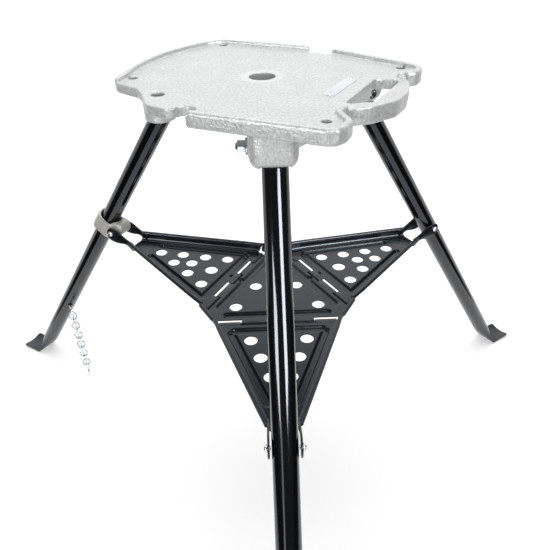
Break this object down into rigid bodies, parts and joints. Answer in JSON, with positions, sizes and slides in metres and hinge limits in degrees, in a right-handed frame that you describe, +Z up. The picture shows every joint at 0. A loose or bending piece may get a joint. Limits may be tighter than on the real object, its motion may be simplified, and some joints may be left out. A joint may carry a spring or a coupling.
{
  "type": "threading machine tripod stand",
  "caption": "Folding tripod stand for a pipe threading machine: cast top plate with a handle slot, tube legs with flattened feet, hinged pierced tray and a hanging chain.",
  "frame": {"origin": "middle of the stand's box, on the floor", "axes": "+Z up, the front leg points to -Y, the right leg to 30 degrees and the left leg to 150 degrees from +X"},
  "size_m": [1.2088, 1.0328, 0.751],
  "materials": {
    "silver_casting": "silver paint with a pebbled surface on a casting",
    "black_tube": "gloss black enamel on steel tube",
    "black_sheet": "satin black enamel on pressed sheet steel",
    "zinc_steel": "bright zinc plate",
    "bare_casting": "bare grey casting"
  },
  "bodies": {
    "head": {"head_casting": "silver_casting", "leg_pivot_bolt_front": "zinc_steel", "leg_pivot_washer_front": "zinc_steel", "leg_pivot_nut_front": "zinc_steel", "leg_pivot_bolt_right": "zinc_steel", "leg_pivot_washer_right": "zinc_steel", "leg_pivot_nut_right": "zinc_steel", "leg_pivot_bolt_left": "zinc_steel", "leg_pivot_washer_left": "zinc_steel", "leg_pivot_nut_left": "zinc_steel"},
    "leg_front": {"leg_tube_front": "black_tube"},
    "leg_right": {"leg_tube_right": "black_tube"},
    "leg_left": {"leg_tube_left": "black_tube", "chain_hook": "zinc_steel"},
    "collar": {"slide_collar": "bare_casting"},
    "chain": {"chain_link_01": "zinc_steel", "chain_link_02": "zinc_steel", "chain_link_03": "zinc_steel", "chain_link_04": "zinc_steel", "chain_link_05": "zinc_steel", "chain_link_06": "zinc_steel", "chain_link_07": "zinc_steel", "chain_link_08": "zinc_steel", "chain_link_09": "zinc_steel", "chain_link_10": "zinc_steel", "chain_link_11": "zinc_steel", "chain_end_hook": "zinc_steel"},
    "tray_centre": {"tray_centre_panel": "black_sheet", "tray_hinge_pin_front": "zinc_steel", "tray_hinge_pin_right": "zinc_steel", "tray_hinge_pin_left": "zinc_steel"},
    "wing_front": {"tray_wing_front": "black_sheet", "tray_screw_front_a": "zinc_steel", "tray_screw_front_b": "zinc_steel"},
    "wing_right": {"tray_wing_right": "black_sheet", "tray_screw_right_a": "zinc_steel", "tray_screw_right_b": "zinc_steel"},
    "wing_left": {"tray_wing_left": "black_sheet", "tray_screw_left_a": "zinc_steel", "tray_screw_left_b": "zinc_steel"}
  },
  "joints": [
    {"name": "front_leg_fold", "type": "hinge", "parent": "head", "child": "leg_front", "pos_m": [0.02604, -0.00131, 0.706], "axis": [1, 0, 0], "range_deg": [0, 28.6]},
    {"name": "right_leg_fold", "type": "hinge", "parent": "head", "child": "leg_right", "pos_m": [0.14786, 0.20968, 0.706], "axis": [-0.5, 0.866, 0], "range_deg": [0, 28.7]},
    {"name": "left_leg_fold", "type": "hinge", "parent": "head", "child": "leg_left", "pos_m": [-0.11425, 0.22034, 0.706], "axis": [-0.5, -0.866, 0], "range_deg": [0, 30.83]},
    {"name": "collar_slide", "type": "slide", "parent": "leg_left", "child": "collar", "axis": [-0.5057, 0.292, -0.8118], "range_m": [0, 0.1122]},
    {"name": "chain_swing", "type": "hinge", "parent": "leg_left", "child": "chain", "pos_m": [-0.41904, 0.36878, 0.18], "axis": [0.3578, -0.9338, 0], "range_deg": [-35, 35]},
    {"name": "tray_rise", "type": "slide", "parent": "head", "child": "tray_centre", "axis": [0, 0, 1], "range_m": [0, 0.1153]},
    {"name": "front_wing_fold", "type": "hinge", "parent": "tray_centre", "child": "wing_front", "pos_m": [0.02604, 0.05985, 0.3907], "axis": [1, 0, 0], "range_deg": [0, 72.7]},
    {"name": "right_wing_fold", "type": "hinge", "parent": "tray_centre", "child": "wing_right", "pos_m": [0.09489, 0.1791, 0.3907], "axis": [-0.5, 0.866, 0], "range_deg": [0, 72.7]},
    {"name": "left_wing_fold", "type": "hinge", "parent": "tray_centre", "child": "wing_left", "pos_m": [-0.04281, 0.1791, 0.3907], "axis": [-0.5, -0.866, 0], "range_deg": [0, 76.3]}
  ],
  "couplings": [
    {"joint": "right_leg_fold", "follows": "front_leg_fold", "ratio": 1},
    {"joint": "left_leg_fold", "follows": "front_leg_fold", "ratio": 1.0745},
    {"joint": "collar_slide", "follows": "front_leg_fold", "m_per_rad": 0.22418},
    {"joint": "tray_rise", "follows": "front_leg_fold", "m_per_rad": 0.23039},
    {"joint": "front_wing_fold", "follows": "front_leg_fold", "ratio": 2.535},
    {"joint": "right_wing_fold", "follows": "front_leg_fold", "ratio": 2.535},
    {"joint": "left_wing_fold", "follows": "front_leg_fold", "ratio": 2.6608}
  ]
}
